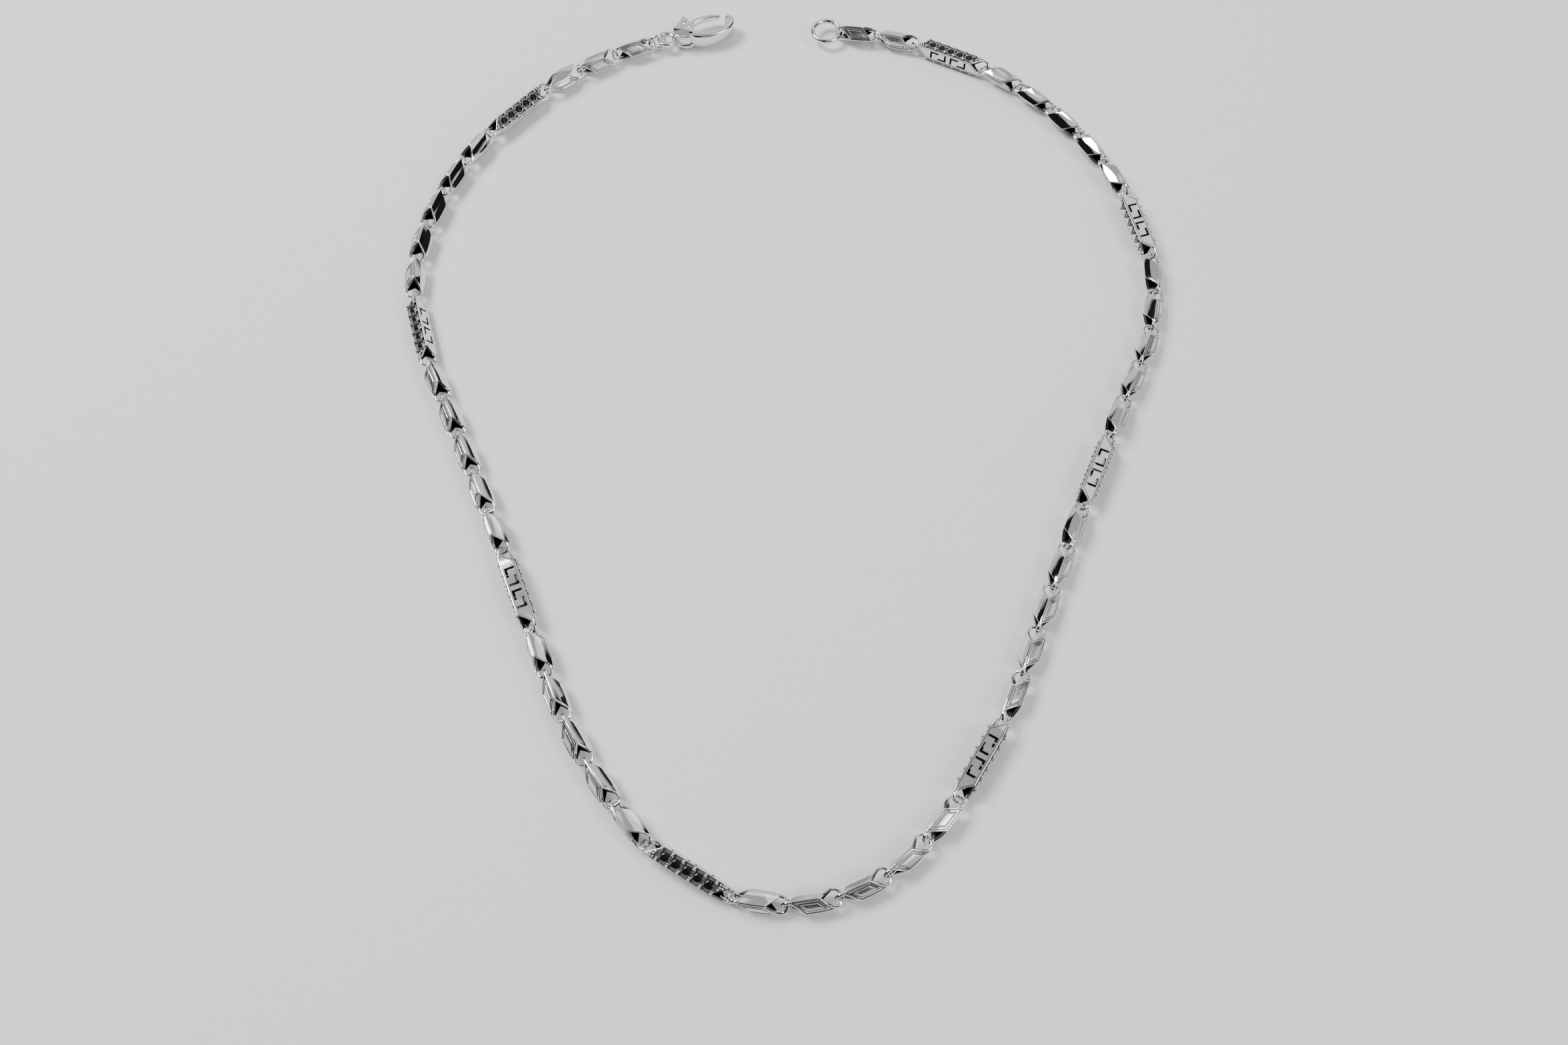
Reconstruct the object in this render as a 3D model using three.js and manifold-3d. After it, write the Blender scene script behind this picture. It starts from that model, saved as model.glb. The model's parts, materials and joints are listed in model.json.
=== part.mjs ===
import * as THREE from 'three';
import { mergeVertices } from 'three/addons/utils/BufferGeometryUtils.js';
import Module from 'manifold-3d';

// Chain necklace lying on a surface with its clasp undone.
// Millimetres, Z up, the drop of the necklace toward -Y, the clasp end toward +Y.

const wasm = await Module();
wasm.setup();

// Driving sizes.
const SMALL_PITCH = 7.8;      // joint centre to joint centre along a small link
const STATION_PITCH = 14.8;   // the same along a long station link
const REPEAT_SMALL_LINKS = 5;  // small links between two stations
const TUBE_SIDE = 2.5;        // side of the square tube
const TUBE_WALL = 0.35;       // sheet thickness of the tube
const CUT_DEPTH = 2.45;       // depth of the V cut at each tube end
const TIP_SETBACK = 0.35;     // from a joint centre back to the tube tips
const BAIL_THICK = 0.45;      // bail wire, measured along the chain
const BAIL_WIDE = 0.6;        // bail wire, measured across its own plane
const BAIL_GAP = 0.3;         // clearance between two linked bail bars
const BAIL_INSET = 0.02;      // from the tube edge to the outside of a bail leg
const BAIL_ROOT = 0.95;       // how far a bail leg runs into the tube
const BAIL_CHAMFER = 0.4;     // across each outer corner of a bail
const RIDE_HEIGHT = 1.85;     // chain centre line above the surface

// Station details.
const SEAT_COUNT = 5;
const SEAT_SPACING = 1.9;
const SEAT_DIAMETER = 1.36;
const PRONG_SIDE = 0.42;
const PRONG_PROUD = 0.5;
const PRONG_OFFSET = 0.88;    // prong centre from the middle of the face
const KEY_SLOT = 0.36;        // width of the pierced key lines
const KEY_REACH = 0.62;       // key line centre from the middle of the face
const KEY_MIDDLE = 2.05;      // middle of each S of the key line from the middle of the link
const KEY_BAR_OUT = 1.45;     // cross bar from the middle of its S
const KEY_ARM = 1.5;          // arm from its cross bar

// Clasp sizes.
const CLASP_THICK = 3.0;
const CLASP_LONG = 5.2;       // half length of the hook ring, outside
const CLASP_TALL = 3.3;       // half height of the hook ring, outside
const CLASP_BAND = 1.4;       // width of the hook ring
const LEVER_THICK = 1.2;
const LEVER_GAP = 0.3;
const LEVER_REACH = 7.25;     // pivot to the lever tip
const PIN_DIAMETER = 0.9;
const PIN_CLEARANCE = 0.15;
const JUMP_RING_MEAN = 3.0;   // mean diameter of the jump ring
const JUMP_RING_WIRE = 0.7;
const CATCH_RING_MEAN = 5.4;  // mean diameter of the catch ring
const CATCH_RING_WIRE = 0.9;
const RING_CLEARANCE = 0.3;   // between a ring and what it holds

// The outline in plan: from the middle of the drop outward, each arc as its length and its turn.
// The lengths are for a repeat of 53.8 and grow with the chain, so a longer chain keeps its outline.
const ARC_REPEAT = 53.8;
const ARCS = [
  { length: 23, turn: 47.5 },
  { length: 31, turn: 21 },
  { length: 62, turn: -4 },
  { length: 30, turn: 38 },
  { length: 84, turn: 80 },
];

// One side of the chain from the middle outward: how many small links before each station.
const LEFT_RUN = [1, 5, 5, 5, 3];
const RIGHT_RUN = [4, 5, 5, 5, 2];
// Station roll in degrees about the chain, and which pair of faces carries the key.
const LEFT_STATIONS = [
  { roll: 104, keyOn: 'v' },
  { roll: 92, keyOn: 'u' },
  { roll: 30, keyOn: 'u' },
  { roll: 60, keyOn: 'v' },
];
const RIGHT_STATIONS = [
  { roll: -4, keyOn: 'v' },
  { roll: 92, keyOn: 'u' },
  { roll: 84, keyOn: 'u' },
  { roll: 90, keyOn: 'v' },
];
const SMALL_ROLL = 45;
const ROLL_BLEND = [0.55, 0.15];  // how far a small link follows a station next to it, then one further
const LEFT_END_ROLL = 135;        // lays the first bail level, across the upright jump ring
const RIGHT_END_ROLL = 135;       // stands the last bail upright, across the flat catch ring

const metal = {
  plate: { color: 0xd9dadc, roughness: 0.16, metalness: 1 },
  station: { color: 0xcfd0d3, roughness: 0.2, metalness: 1 },
  clasp: { color: 0xd4d5d8, roughness: 0.18, metalness: 1 },
  spring: { color: 0xa9abb0, roughness: 0.3, metalness: 1 },
};

function solidFrom(geometry) {
  const clean = geometry.clone();
  clean.deleteAttribute('normal');
  clean.deleteAttribute('uv');
  const merged = mergeVertices(clean, 1e-5);
  const index = merged.index;
  return new wasm.Manifold(new wasm.Mesh({
    numProp: 3,
    vertProperties: new Float32Array(merged.attributes.position.array),
    triVerts: new Uint32Array(index.array),
  }));
}

function geometryFrom(solid) {
  const mesh = solid.getMesh();
  const geometry = new THREE.BufferGeometry();
  const stride = mesh.numProp;
  const count = mesh.vertProperties.length / stride;
  const positions = new Float32Array(count * 3);
  for (let i = 0; i < count; i += 1) {
    positions[i * 3] = mesh.vertProperties[i * stride];
    positions[i * 3 + 1] = mesh.vertProperties[i * stride + 1];
    positions[i * 3 + 2] = mesh.vertProperties[i * stride + 2];
  }
  geometry.setAttribute('position', new THREE.BufferAttribute(positions, 3));
  geometry.setIndex(new THREE.BufferAttribute(new Uint32Array(mesh.triVerts), 1));
  const flat = geometry.toNonIndexed();
  flat.computeVertexNormals();
  return flat;
}

function quadSolid(points, quads) {
  const positions = [];
  for (const [a, b, c, d] of quads) {
    for (const corner of [a, b, c, a, c, d]) {
      positions.push(points[corner].x, points[corner].y, points[corner].z);
    }
  }
  const geometry = new THREE.BufferGeometry();
  geometry.setAttribute('position', new THREE.BufferAttribute(new Float32Array(positions), 3));
  return solidFrom(geometry);
}

function boxSolid(sizeX, sizeY, sizeZ, x, y, z) {
  const box = new THREE.BoxGeometry(sizeX, sizeY, sizeZ);
  box.translate(x, y, z);
  return solidFrom(box);
}

// A square tube along X whose two ends are V cut; the start tips are on the edges u = v,
// the far tips on the edges u = -v.
function tubeSolid(halfLength) {
  const corners = [[1, 1], [-1, 1], [-1, -1], [1, -1]];
  const points = [];
  for (const side of [TUBE_SIDE / 2, TUBE_SIDE / 2 - TUBE_WALL]) {
    const back = CUT_DEPTH * (1 - side / (TUBE_SIDE / 2));
    for (let i = 0; i < 4; i += 1) {
      const tipFirst = i % 2 === 0;
      const start = tipFirst ? -halfLength + back : -halfLength + CUT_DEPTH;
      points.push(new THREE.Vector3(start, corners[i][0] * side, corners[i][1] * side));
    }
    for (let i = 0; i < 4; i += 1) {
      const tipLast = i % 2 === 1;
      const end = tipLast ? halfLength - back : halfLength - CUT_DEPTH;
      points.push(new THREE.Vector3(end, corners[i][0] * side, corners[i][1] * side));
    }
  }
  const quads = [];
  for (let i = 0; i < 4; i += 1) {
    const j = (i + 1) % 4;
    quads.push([i, i + 4, j + 4, j]);
    quads.push([i + 8, j + 8, j + 12, i + 12]);
    quads.push([i, j, j + 8, i + 8]);
    quads.push([i + 4, i + 12, j + 12, j + 4]);
  }
  for (const quad of quads) {
    quad.reverse();
  }
  return quadSolid(points, quads);
}

// The U shaped bail at the start end, in the plane of the edges u = v.
function bailSolid(halfPitch, halfLength) {
  const legOut = TUBE_SIDE / Math.SQRT2 - BAIL_WIDE / 2 - BAIL_INSET;
  const legIn = legOut - BAIL_THICK;
  const barOut = -halfPitch - BAIL_GAP / 2 - BAIL_THICK;
  const barIn = -halfPitch - BAIL_GAP / 2;
  const root = -halfLength + BAIL_ROOT;
  const shape = new THREE.Shape();
  shape.moveTo(root, legOut);
  shape.lineTo(barOut + BAIL_CHAMFER, legOut);
  shape.lineTo(barOut, legOut - BAIL_CHAMFER);
  shape.lineTo(barOut, -legOut + BAIL_CHAMFER);
  shape.lineTo(barOut + BAIL_CHAMFER, -legOut);
  shape.lineTo(root, -legOut);
  shape.lineTo(root, -legIn);
  shape.lineTo(barIn, -legIn);
  shape.lineTo(barIn, legIn);
  shape.lineTo(root, legIn);
  shape.closePath();
  const bar = new THREE.ExtrudeGeometry(shape, { depth: BAIL_WIDE, bevelEnabled: false });
  bar.translate(0, 0, -BAIL_WIDE / 2);
  bar.rotateX(Math.PI / 4);
  return solidFrom(bar);
}

function linkSolid(pitch) {
  const halfLength = pitch / 2 - TIP_SETBACK;
  const startBail = bailSolid(pitch / 2, halfLength);
  const farBail = startBail.rotate([0, 0, 180]);
  return tubeSolid(halfLength).add(startBail).add(farBail);
}

// The boxes that pierce one key face; the face looks along +Z, the pattern is drawn on X and Y.
function keyCutters(hand) {
  const cutters = [];
  const deep = TUBE_WALL + 0.5;
  const level = TUBE_SIDE / 2;
  for (const middle of [-KEY_MIDDLE, KEY_MIDDLE]) {
    for (const turn of [1, -1]) {
      const barX = middle - turn * KEY_BAR_OUT;
      const reach = KEY_REACH * 2 + KEY_SLOT;
      cutters.push(boxSolid(KEY_SLOT, reach, deep, barX, 0, level));
      const armY = hand * turn * KEY_REACH;
      cutters.push(boxSolid(KEY_ARM, KEY_SLOT, deep, barX + turn * KEY_ARM / 2, armY, level));
    }
  }
  return cutters;
}

function facing(solid, face) {
  const turn = { v: 0, u: -90, backV: 180, backU: 90 };
  return solid.rotate([turn[face], 0, 0]);
}

function stationSolid(keyOn) {
  let body = linkSolid(STATION_PITCH);
  const hand = keyOn === 'v' ? 1 : -1;
  const keyFaces = keyOn === 'v' ? ['v', 'backV'] : ['u', 'backU'];
  const seatFaces = keyOn === 'v' ? ['u', 'backU'] : ['v', 'backV'];
  for (const face of keyFaces) {
    for (const cutter of keyCutters(hand)) {
      body = body.subtract(facing(cutter, face));
    }
  }
  for (const face of seatFaces) {
    for (let i = 0; i < SEAT_COUNT; i += 1) {
      const x = (i - (SEAT_COUNT - 1) / 2) * SEAT_SPACING;
      const seat = new THREE.CylinderGeometry(SEAT_DIAMETER / 2, SEAT_DIAMETER / 2, 1, 6);
      seat.rotateX(Math.PI / 2);
      seat.translate(x, 0, TUBE_SIDE / 2);
      body = body.subtract(facing(solidFrom(seat), face));
    }
    for (let i = 0; i <= SEAT_COUNT; i += 1) {
      const x = (i - SEAT_COUNT / 2) * SEAT_SPACING;
      for (const side of [-1, 1]) {
        const tall = PRONG_PROUD + 0.2;
        const level = TUBE_SIDE / 2 + PRONG_PROUD - tall / 2;
        const prong = boxSolid(PRONG_SIDE, PRONG_SIDE, tall, x, side * PRONG_OFFSET, level);
        body = body.add(facing(prong, face));
      }
    }
  }
  return body;
}

function headingAt(distance) {
  const repeat = REPEAT_SMALL_LINKS * SMALL_PITCH + STATION_PITCH;
  let turned = 0;
  let left = distance * ARC_REPEAT / repeat;
  for (const arc of ARCS) {
    const used = Math.min(left, arc.length);
    turned += arc.turn * used / arc.length;
    left -= used;
    if (left <= 0) {
      break;
    }
  }
  return THREE.MathUtils.degToRad(turned);
}

// Joint centres and links of one side, walked outward from the middle joint.
function walkSide(run, stations, sign, endRoll) {
  const steps = [];
  run.forEach((count, group) => {
    for (let i = 0; i < count; i += 1) {
      const fromFar = count - 1 - i;
      const before = group > 0 ? stations[group - 1].roll : null;
      const after = group < stations.length ? stations[group].roll : null;
      let roll = SMALL_ROLL;
      if (after === null) {
        roll = before + (endRoll - before) * (i + 1) / count;
      } else {
        roll += (after - SMALL_ROLL) * blendAt(fromFar);
        roll += before === null ? 0 : (before - SMALL_ROLL) * blendAt(i);
      }
      steps.push({ kind: 'small', pitch: SMALL_PITCH, roll });
    }
    if (group < stations.length) {
      steps.push({ kind: 'station', pitch: STATION_PITCH, ...stations[group] });
    }
  });
  const joints = [new THREE.Vector3(0, 0, RIDE_HEIGHT)];
  let travelled = 0;
  for (const step of steps) {
    const heading = headingAt(travelled + step.pitch / 2);
    const last = joints[joints.length - 1];
    const next = last.clone();
    next.x += sign * Math.cos(heading) * step.pitch;
    next.y += Math.sin(heading) * step.pitch;
    joints.push(next);
    travelled += step.pitch;
  }
  return { steps, joints, heading: headingAt(travelled) };
}

function blendAt(place) {
  return place < 2 ? ROLL_BLEND[place] : 0;
}

// Turns a solid drawn along X so that it runs from one joint centre to the next with a roll.
function placement(from, to, rollDegrees) {
  const along = to.clone().sub(from).normalize();
  const up = new THREE.Vector3(0, 0, 1);
  const side = up.clone().cross(along).normalize();
  const basis = new THREE.Matrix4().makeBasis(along, side, up);
  const roll = new THREE.Matrix4().makeRotationX(THREE.MathUtils.degToRad(rollDegrees));
  const middle = from.clone().add(to).multiplyScalar(0.5);
  return new THREE.Matrix4().setPosition(middle).multiply(basis).multiply(roll);
}

function addMesh(group, name, geometry, look, matrix) {
  const mesh = new THREE.Mesh(geometry, new THREE.MeshStandardMaterial(look));
  mesh.name = name;
  if (matrix) {
    mesh.applyMatrix4(matrix);
  }
  group.add(mesh);
  return mesh;
}

function ringGeometry(meanDiameter, wire, segments) {
  const ring = new THREE.TorusGeometry(meanDiameter / 2, wire / 2, 8, segments);
  return geometryFrom(solidFrom(ring));
}

// A band of the hook ring between two angles, drawn in plan with its thickness along Z.
function bandSolid(fromDegrees, toDegrees, inset, band, thick, steps) {
  const shape = new THREE.Shape();
  const points = [];
  for (let i = 0; i <= steps; i += 1) {
    const t = THREE.MathUtils.degToRad(fromDegrees + (toDegrees - fromDegrees) * i / steps);
    points.push([(CLASP_LONG - inset) * Math.cos(t), (CLASP_TALL - inset) * Math.sin(t)]);
  }
  for (let i = steps; i >= 0; i -= 1) {
    const t = THREE.MathUtils.degToRad(fromDegrees + (toDegrees - fromDegrees) * i / steps);
    const deep = inset + band;
    points.push([(CLASP_LONG - deep) * Math.cos(t), (CLASP_TALL - deep) * Math.sin(t)]);
  }
  shape.moveTo(points[0][0], points[0][1]);
  for (const point of points.slice(1)) {
    shape.lineTo(point[0], point[1]);
  }
  shape.closePath();
  const band3 = new THREE.ExtrudeGeometry(shape, { depth: thick, bevelEnabled: false });
  band3.translate(0, 0, -thick / 2);
  return solidFrom(band3);
}

function cylinderSolid(radius, tall, sides, x, y, z) {
  const cylinder = new THREE.CylinderGeometry(radius, radius, tall, sides);
  cylinder.rotateX(Math.PI / 2);
  cylinder.translate(x, y, z);
  return solidFrom(cylinder);
}

// Clasp pieces share one frame: the hook ring centre at the origin, the nose toward +X,
// the lever on the +Y side and the tail eye toward -X.
const PIVOT = { x: -4.1, y: 1.75 };
const EYE = { x: -8.7, outer: 1.9, inner: 1.05, thick: 1.0 };

function claspBodySolid() {
  let body = bandSolid(158, 392, 0, CLASP_BAND, CLASP_THICK, 20);
  const swing = LEVER_REACH + LEVER_GAP;
  const noseCut = cylinderSolid(swing, 6, 64, PIVOT.x, PIVOT.y, 0);
  body = body.subtract(noseCut.intersect(boxSolid(4, 3, 6, 3.6, 1.9, 0)));
  body = body.add(boxSolid(3.4, 4.2, CLASP_THICK, -5.3, 0, 0));
  body = body.add(cylinderSolid(1.5, CLASP_THICK, 14, PIVOT.x, PIVOT.y, 0));
  body = body.add(cylinderSolid(EYE.outer, EYE.thick, 18, EYE.x, 0, 0));
  body = body.subtract(cylinderSolid(EYE.inner, 4, 14, EYE.x, 0, 0));
  // The slot that holds the lever root and the spring.
  const slot = LEVER_THICK + LEVER_GAP;
  body = body.subtract(boxSolid(4.2, 3.6, slot, -4.2, 1.75, 0));
  const hole = PIN_DIAMETER / 2 + PIN_CLEARANCE;
  body = body.subtract(cylinderSolid(hole, 6, 14, PIVOT.x, PIVOT.y, 0));
  return body;
}

function leverSolid() {
  let lever = bandSolid(34, 152, 0.05, CLASP_BAND - 0.45, LEVER_THICK, 12);
  lever = lever.intersect(cylinderSolid(LEVER_REACH, 6, 64, PIVOT.x, PIVOT.y, 0));
  lever = lever.add(cylinderSolid(1.15, LEVER_THICK, 14, PIVOT.x, PIVOT.y, 0));
  lever = lever.add(boxSolid(1.1, 1.9, LEVER_THICK, PIVOT.x + 0.2, PIVOT.y + 1.75, 0));
  const hole = PIN_DIAMETER / 2 + PIN_CLEARANCE;
  lever = lever.subtract(cylinderSolid(hole, 6, 14, PIVOT.x, PIVOT.y, 0));
  return lever;
}

function pinSolid() {
  return cylinderSolid(PIN_DIAMETER / 2, CLASP_THICK, 14, PIVOT.x, PIVOT.y, 0);
}

class CoilPath extends THREE.Curve {
  getPoint(t, target = new THREE.Vector3()) {
    const turn = t * Math.PI * 2 * 3;
    return target.set(-0.9 * t, 0.36 * Math.cos(turn), 0.36 * Math.sin(turn));
  }
}

function springGeometry() {
  const coil = new THREE.Shape();
  coil.absarc(0, 0, 0.1, 0, Math.PI * 2);
  const swept = new THREE.ExtrudeGeometry(coil, {
    steps: 24,
    curveSegments: 3,
    bevelEnabled: false,
    extrudePath: new CoilPath(),
  });
  return swept;
}

function buildNecklace() {
  const group = new THREE.Group();
  group.name = 'chain_necklace';
  const smallLink = geometryFrom(linkSolid(SMALL_PITCH));
  const stations = {
    u: geometryFrom(stationSolid('u')),
    v: geometryFrom(stationSolid('v')),
  };
  const sides = [
    { tag: 'L', sign: -1, ...walkSide(LEFT_RUN, LEFT_STATIONS, -1, LEFT_END_ROLL) },
    { tag: 'R', sign: 1, ...walkSide(RIGHT_RUN, RIGHT_STATIONS, 1, RIGHT_END_ROLL) },
  ];
  for (const side of sides) {
    let small = 0;
    let station = 0;
    side.steps.forEach((step, i) => {
      const near = side.joints[i];
      const far = side.joints[i + 1];
      // The chain runs from the left end to the right end, so a left link starts at its outer joint.
      const from = side.sign < 0 ? far : near;
      const to = side.sign < 0 ? near : far;
      const matrix = placement(from, to, step.roll);
      if (step.kind === 'small') {
        small += 1;
        const name = `small_link_${side.tag}${String(small).padStart(2, '0')}`;
        addMesh(group, name, smallLink.clone(), metal.plate, matrix);
      } else {
        station += 1;
        const name = `station_link_${side.tag}${station}`;
        addMesh(group, name, stations[step.keyOn].clone(), metal.station, matrix);
      }
    });
  }
  const left = sides[0];
  const right = sides[1];

  // Jump ring on the left end, standing on edge, then the clasp lying flat.
  const up = new THREE.Vector3(0, 0, 1);
  const outLeft = new THREE.Vector3(-Math.cos(left.heading), Math.sin(left.heading), 0);
  const leftEnd = left.joints[left.joints.length - 1];
  const jumpReach = JUMP_RING_MEAN / 2 - JUMP_RING_WIRE / 2 - BAIL_GAP / 2;
  const ringCentre = leftEnd.clone().addScaledVector(outLeft, jumpReach);
  const jump = new THREE.Matrix4().makeBasis(outLeft, up, outLeft.clone().cross(up));
  jump.setPosition(ringCentre);
  const jumpRing = ringGeometry(JUMP_RING_MEAN, JUMP_RING_WIRE, 18);
  addMesh(group, 'jump_ring', jumpRing, metal.clasp, jump);
  const eyeReach = (JUMP_RING_MEAN - JUMP_RING_WIRE) / 2 - RING_CLEARANCE + EYE.inner;
  const eyeAt = ringCentre.clone().addScaledVector(outLeft, eyeReach);
  const claspFrame = new THREE.Matrix4().makeBasis(outLeft, up.clone().cross(outLeft), up);
  claspFrame.setPosition(eyeAt);
  claspFrame.multiply(new THREE.Matrix4().makeTranslation(-EYE.x, 0, 0));
  addMesh(group, 'clasp_body', geometryFrom(claspBodySolid()), metal.clasp, claspFrame);
  addMesh(group, 'clasp_lever', geometryFrom(leverSolid()), metal.clasp, claspFrame);
  addMesh(group, 'clasp_pin', geometryFrom(pinSolid()), metal.clasp, claspFrame);
  const springFrame = claspFrame.clone();
  springFrame.multiply(new THREE.Matrix4().makeTranslation(-5.32, 1.2, 0));
  addMesh(group, 'clasp_spring', springGeometry(), metal.spring, springFrame);

  // Catch ring on the right end.
  const outRight = new THREE.Vector3(Math.cos(right.heading), Math.sin(right.heading), 0);
  const rightEnd = right.joints[right.joints.length - 1];
  const catchReach = CATCH_RING_MEAN / 2 - CATCH_RING_WIRE / 2 - BAIL_GAP / 2;
  const catchCentre = rightEnd.clone().addScaledVector(outRight, catchReach);
  const catchFrame = new THREE.Matrix4().setPosition(catchCentre);
  const catchRing = ringGeometry(CATCH_RING_MEAN, CATCH_RING_WIRE, 24);
  addMesh(group, 'catch_ring', catchRing, metal.clasp, catchFrame);
  settleOnOrigin(group);
  return group;
}

// Moves every mesh so the origin is under the middle of the whole, on the surface it lies on.
function settleOnOrigin(group) {
  group.updateMatrixWorld(true);
  const bounds = new THREE.Box3();
  for (const mesh of group.children) {
    bounds.expandByObject(mesh, true);
  }
  const middle = bounds.getCenter(new THREE.Vector3());
  for (const mesh of group.children) {
    mesh.position.sub(new THREE.Vector3(middle.x, middle.y, bounds.min.z));
  }
}

export default buildNecklace();
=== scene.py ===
import json
import math

import bmesh
import bpy
from mathutils import Matrix, Vector


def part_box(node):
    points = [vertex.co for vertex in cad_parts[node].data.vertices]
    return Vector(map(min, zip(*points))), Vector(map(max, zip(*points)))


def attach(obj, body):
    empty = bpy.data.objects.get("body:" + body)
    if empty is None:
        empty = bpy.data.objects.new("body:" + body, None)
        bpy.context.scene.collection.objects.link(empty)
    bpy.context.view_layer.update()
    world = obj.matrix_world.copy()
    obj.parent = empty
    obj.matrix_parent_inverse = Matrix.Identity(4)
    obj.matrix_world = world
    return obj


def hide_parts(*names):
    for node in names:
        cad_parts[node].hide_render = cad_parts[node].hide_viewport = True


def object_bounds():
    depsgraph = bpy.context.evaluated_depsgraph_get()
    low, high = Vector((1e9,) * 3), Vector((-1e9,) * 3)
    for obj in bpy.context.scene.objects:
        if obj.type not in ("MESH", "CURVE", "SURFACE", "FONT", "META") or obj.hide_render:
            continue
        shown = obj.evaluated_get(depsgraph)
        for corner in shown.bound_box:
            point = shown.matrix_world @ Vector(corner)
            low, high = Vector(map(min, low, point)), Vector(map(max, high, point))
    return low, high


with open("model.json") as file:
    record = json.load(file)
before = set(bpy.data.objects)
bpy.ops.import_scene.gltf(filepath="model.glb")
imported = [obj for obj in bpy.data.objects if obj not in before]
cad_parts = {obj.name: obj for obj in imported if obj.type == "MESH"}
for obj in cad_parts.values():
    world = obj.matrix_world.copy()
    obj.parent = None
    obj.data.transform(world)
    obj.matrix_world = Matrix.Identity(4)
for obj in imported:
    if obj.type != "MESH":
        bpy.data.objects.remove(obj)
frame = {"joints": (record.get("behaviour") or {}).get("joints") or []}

cad_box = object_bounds()
mm = 0.001

# ---------------------------------------------------------------------------------------------
# The camera looks down on the laid-out necklace from in front of its drop, close enough
# that the front links are drawn larger than the ones at the back.
camera_lens = 31.5
camera_height = math.radians(64.3)
camera_away = 226 * mm
camera_aim = Vector((0, cad_box[0][1] + 63.5 * mm, 0))

camera_data = bpy.data.cameras.new("necklace_camera")
camera_data.lens = camera_lens
camera_data.sensor_width = 36
camera_data.clip_start = 0.005
camera_data.clip_end = 20
camera = bpy.data.objects.new("necklace_camera", camera_data)
bpy.context.collection.objects.link(camera)
camera_back = Vector((0, -math.cos(camera_height), math.sin(camera_height)))
camera.location = camera_aim + camera_back * camera_away
camera.rotation_euler = camera_back.to_track_quat("Z", "Y").to_euler()
bpy.context.scene.camera = camera

# ---------------------------------------------------------------------------------------------
# The stage: a pale matt board under soft boxes, in front of a plain pale backdrop. The polished
# metal mirrors dark flags and a room of soft light and dark, which the camera doesn't see.
board_half = 3.0
board_colour = (0.8, 0.8, 0.79, 1)
board_roughness, board_shine = 0.9, 0.1
flag_colour = (0.01, 0.01, 0.011, 1)
room_dark = (0.012, 0.013, 0.014, 1)
room_light = (1.0, 1.0, 1.0, 1)
backdrop_colour = (0.66, 0.66, 0.66, 1)
room_strength = 0.9
room_patch, room_detail, room_warp = 1.35, 1.5, 0.4
room_dark_until, room_light_from = 0.46, 0.56


def board(name, corners, colour):
    mesh = bpy.data.meshes.new(name)
    mesh.from_pydata(corners, [], [tuple(range(len(corners)))])
    obj = bpy.data.objects.new(name, mesh)
    bpy.context.collection.objects.link(obj)
    paint = bpy.data.materials.new(name)
    paint.use_nodes = True
    shader = paint.node_tree.nodes["Principled BSDF"]
    shader.inputs["Base Color"].default_value = colour
    shader.inputs["Roughness"].default_value = board_roughness
    shader.inputs["Specular IOR Level"].default_value = board_shine
    mesh.materials.append(paint)
    return obj


floor_corners = [(-board_half, -board_half, 0), (board_half, -board_half, 0),
                 (board_half, board_half, 0), (-board_half, board_half, 0)]
board("pale_board", floor_corners, board_colour)


def upright_flag(name, start, end, low, high):
    corners = [(*start, low), (*end, low), (*end, high), (*start, high)]
    flag = board(name, corners, flag_colour)
    flag.visible_camera = flag.visible_diffuse = flag.visible_shadow = False


upright_flag("flag_left", (-0.5, -0.35), (-0.5, 0.12), 0.01, 0.3)
upright_flag("flag_right", (0.5, 0.0), (0.5, 0.45), 0.01, 0.3)
upright_flag("flag_front", (-0.34, -0.5), (0.4, -0.5), 0.03, 0.42)


def soft_box(name, place, aim, wide, tall, power):
    data = bpy.data.lights.new(name, "AREA")
    data.shape = "RECTANGLE"
    data.size = wide
    data.size_y = tall
    data.energy = power
    obj = bpy.data.objects.new(name, data)
    bpy.context.collection.objects.link(obj)
    obj.location = place
    obj.rotation_euler = (Vector(place) - Vector(aim)).to_track_quat("Z", "Y").to_euler()


soft_box("key_box", (-0.6, 0.3, 0.85), (0, 0, 0), 0.45, 0.45, 14)
soft_box("fill_box", (0.7, -0.3, 0.7), (0, 0, 0), 0.35, 0.5, 4)
soft_box("top_box_left", (-0.2, 0.46, 0.86), (-0.2, 0.36, 0), 0.6, 0.98, 0.95)
soft_box("top_box_right", (0.35, 0.46, 0.86), (0.35, 0.36, 0), 0.5, 0.98, 1.8)

room = bpy.data.worlds.new("studio_room")
bpy.context.scene.world = room
room.use_nodes = True
room_nodes, room_links = room.node_tree.nodes, room.node_tree.links
room_place = room_nodes.new("ShaderNodeTexCoord")
room_noise = room_nodes.new("ShaderNodeTexNoise")
room_noise.inputs["Scale"].default_value = room_patch
room_noise.inputs["Detail"].default_value = room_detail
room_noise.inputs["Distortion"].default_value = room_warp
room_ramp = room_nodes.new("ShaderNodeValToRGB")
room_ramp.color_ramp.elements[0].position = room_dark_until
room_ramp.color_ramp.elements[0].color = room_dark
room_ramp.color_ramp.elements[1].position = room_light_from
room_ramp.color_ramp.elements[1].color = room_light
room_links.new(room_place.outputs["Generated"], room_noise.inputs["Vector"])
room_links.new(room_noise.outputs["Fac"], room_ramp.inputs["Fac"])
room_sky = room_nodes["Background"]
room_ray = room_nodes.new("ShaderNodeLightPath")
room_seen = room_nodes.new("ShaderNodeMix")
room_seen.data_type = "RGBA"
room_seen.inputs["B"].default_value = backdrop_colour
room_links.new(room_ray.outputs["Is Camera Ray"], room_seen.inputs["Factor"])
room_links.new(room_ramp.outputs["Color"], room_seen.inputs["A"])
room_links.new(room_seen.outputs["Result"], room_sky.inputs["Color"])
room_sky.inputs["Strength"].default_value = room_strength

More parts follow.
